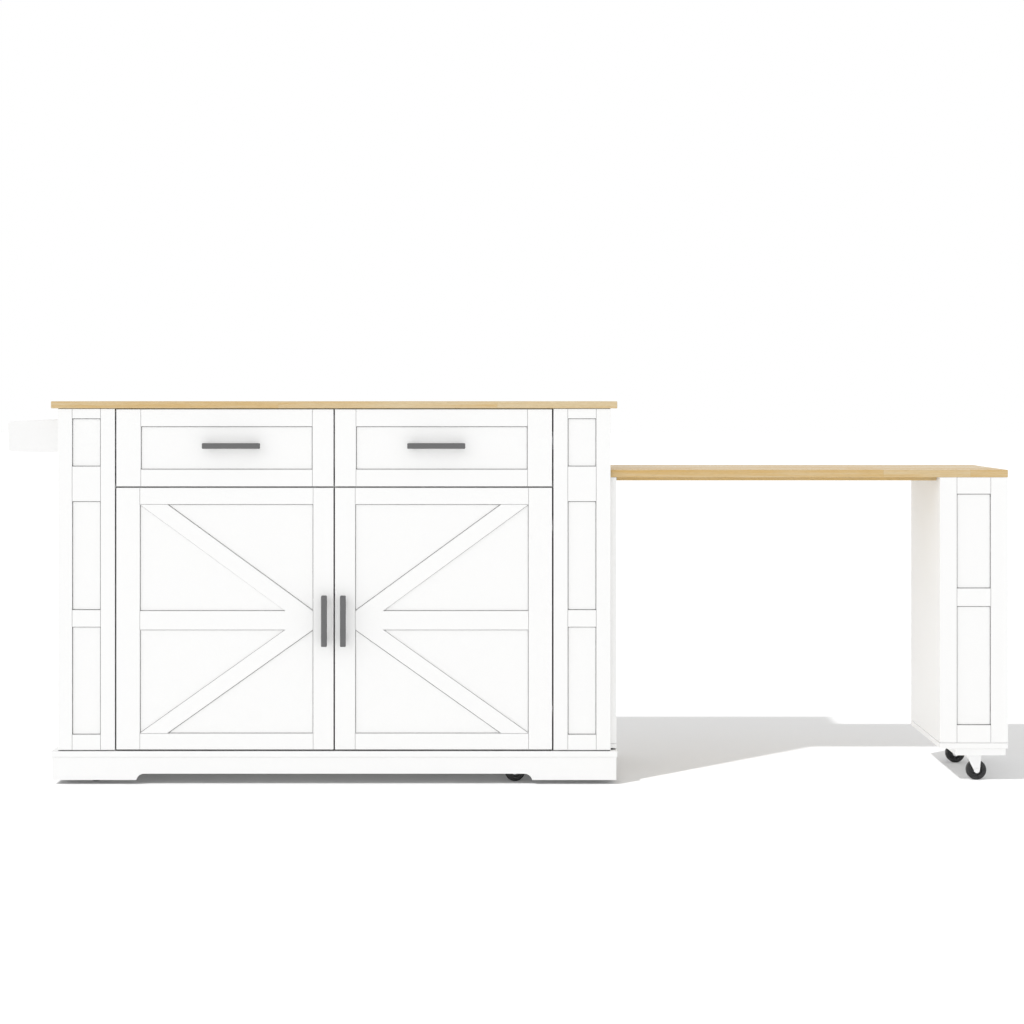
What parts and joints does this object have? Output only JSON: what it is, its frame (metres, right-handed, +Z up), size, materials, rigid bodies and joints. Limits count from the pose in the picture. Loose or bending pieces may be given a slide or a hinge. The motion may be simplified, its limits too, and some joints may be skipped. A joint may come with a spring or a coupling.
{
  "type": "rolling kitchen island",
  "caption": "White kitchen island on casters with a wood worktop, drawers, barn-style doors, a side rack and a pull-out table leaf on a rolling leg.",
  "frame": {"origin": "on the floor, under the middle of the outline with the leaf pulled out", "axes": "+X to the right along the front, towards the leaf's leg; +Y from the front to the back; +Z up"},
  "size_m": [2.3954, 0.505, 0.914],
  "materials": {
    "white_paint": "satin white paint on fibreboard",
    "white_board": "matt white faced board",
    "rubberwood": "oiled rubberwood staves",
    "drawer_board": "pale faced board",
    "handle_metal": "satin grey coated zinc",
    "bright_steel": "nickel plated",
    "slide_steel": "zinc plated",
    "nylon_glide": "smooth nylon",
    "caster_plastic": "moulded white",
    "wheel_rubber": "black tread"
  },
  "bodies": {
    "root": {"worktop": "rubberwood", "floor_panel": "white_paint", "plinth_front": "white_paint", "plinth_back": "white_paint", "plinth_ends": "white_paint", "left_side": "white_paint", "lower_right_side": "white_paint", "upper_right_side": "white_paint", "back_panel": "white_board", "slot_floor": "white_board", "slot_ceiling": "white_board", "bay_sides": "white_board", "shelf": "white_board", "shelf_pins": "bright_steel", "drawer_dividers": "white_board", "pilasters": "white_paint", "pilaster_trims": "white_paint", "hinge_arms": "bright_steel", "drawer_slides": "slide_steel", "leaf_glides": "nylon_glide", "end_panel": "white_paint", "rack_brackets": "white_paint", "rack_shelf": "white_paint", "towel_bar": "white_paint"},
    "left_door": {"left_door_panel": "white_paint", "left_door_trim": "white_paint", "left_hinge_cups": "bright_steel", "left_door_handle": "handle_metal"},
    "right_door": {"right_door_panel": "white_paint", "right_door_trim": "white_paint", "right_hinge_cups": "bright_steel", "right_door_handle": "handle_metal"},
    "left_drawer": {"left_drawer_front": "white_paint", "left_drawer_handle": "handle_metal", "left_drawer_box": "drawer_board", "left_drawer_runners": "slide_steel"},
    "right_drawer": {"right_drawer_front": "white_paint", "right_drawer_handle": "handle_metal", "right_drawer_box": "drawer_board", "right_drawer_runners": "slide_steel"},
    "table_leaf": {"leaf": "rubberwood", "leaf_battens": "rubberwood", "leg_sides": "white_paint", "leg_back": "white_paint", "leg_front": "white_paint", "leg_foot": "white_paint", "leg_base": "white_paint"},
    "front_left_swivel": {"front_left_fork": "caster_plastic"},
    "front_left_roller": {"front_left_wheel": "wheel_rubber"},
    "front_right_swivel": {"front_right_fork": "caster_plastic"},
    "front_right_roller": {"front_right_wheel": "wheel_rubber"},
    "back_left_swivel": {"back_left_fork": "caster_plastic"},
    "back_left_roller": {"back_left_wheel": "wheel_rubber"},
    "back_right_swivel": {"back_right_fork": "caster_plastic"},
    "back_right_roller": {"back_right_wheel": "wheel_rubber"},
    "leg_front_swivel": {"leg_front_fork": "caster_plastic"},
    "leg_front_roller": {"leg_front_wheel": "wheel_rubber"},
    "leg_back_swivel": {"leg_back_fork": "caster_plastic"},
    "leg_back_roller": {"leg_back_wheel": "wheel_rubber"}
  },
  "joints": [
    {"name": "left_door_hinge", "type": "hinge", "parent": "root", "child": "left_door", "pos_m": [-0.93445, -0.2245, 0.39555], "axis": [0, 0, -1], "range_deg": [0, 110]},
    {"name": "right_door_hinge", "type": "hinge", "parent": "root", "child": "right_door", "pos_m": [0.10795, -0.2245, 0.39555], "axis": [0, 0, 1], "range_deg": [0, 110]},
    {"name": "left_drawer_slide", "type": "slide", "parent": "root", "child": "left_drawer", "axis": [0, -1, 0], "range_m": [0, 0.3]},
    {"name": "right_drawer_slide", "type": "slide", "parent": "root", "child": "right_drawer", "axis": [0, -1, 0], "range_m": [0, 0.3]},
    {"name": "leaf_slide", "type": "slide", "parent": "root", "child": "table_leaf", "axis": [-1, 0, 0], "range_m": [0, 0.773]},
    {"name": "front_left_swivel", "type": "hinge", "parent": "root", "child": "front_left_swivel", "pos_m": [-0.97425, -0.1655, 0.066], "axis": [0, 0, 1], "continuous": true},
    {"name": "front_left_spin", "type": "hinge", "parent": "front_left_swivel", "child": "front_left_roller", "pos_m": [-0.99025, -0.1655, 0.024], "axis": [0, 1, 0], "continuous": true},
    {"name": "front_right_swivel", "type": "hinge", "parent": "root", "child": "front_right_swivel", "pos_m": [0.03375, -0.1655, 0.066], "axis": [0, 0, 1], "continuous": true},
    {"name": "front_right_spin", "type": "hinge", "parent": "front_right_swivel", "child": "front_right_roller", "pos_m": [0.01775, -0.1655, 0.024], "axis": [0, 1, 0], "continuous": true},
    {"name": "back_left_swivel", "type": "hinge", "parent": "root", "child": "back_left_swivel", "pos_m": [-0.97425, 0.1905, 0.066], "axis": [0, 0, 1], "continuous": true},
    {"name": "back_left_spin", "type": "hinge", "parent": "back_left_swivel", "child": "back_left_roller", "pos_m": [-0.99025, 0.1905, 0.024], "axis": [0, 1, 0], "continuous": true},
    {"name": "back_right_swivel", "type": "hinge", "parent": "root", "child": "back_right_swivel", "pos_m": [0.03375, 0.1905, 0.066], "axis": [0, 0, 1], "continuous": true},
    {"name": "back_right_spin", "type": "hinge", "parent": "back_right_swivel", "child": "back_right_roller", "pos_m": [0.01775, 0.1905, 0.024], "axis": [0, 1, 0], "continuous": true},
    {"name": "leg_front_swivel", "type": "hinge", "parent": "table_leaf", "child": "leg_front_swivel", "pos_m": [1.11625, -0.1445, 0.066], "axis": [0, 0, 1], "continuous": true},
    {"name": "leg_front_spin", "type": "hinge", "parent": "leg_front_swivel", "child": "leg_front_roller", "pos_m": [1.13225, -0.1445, 0.024], "axis": [0, 1, 0], "continuous": true},
    {"name": "leg_back_swivel", "type": "hinge", "parent": "table_leaf", "child": "leg_back_swivel", "pos_m": [1.11625, 0.13, 0.066], "axis": [0, 0, 1], "continuous": true},
    {"name": "leg_back_spin", "type": "hinge", "parent": "leg_back_swivel", "child": "leg_back_roller", "pos_m": [1.13225, 0.13, 0.024], "axis": [0, 1, 0], "continuous": true}
  ]
}
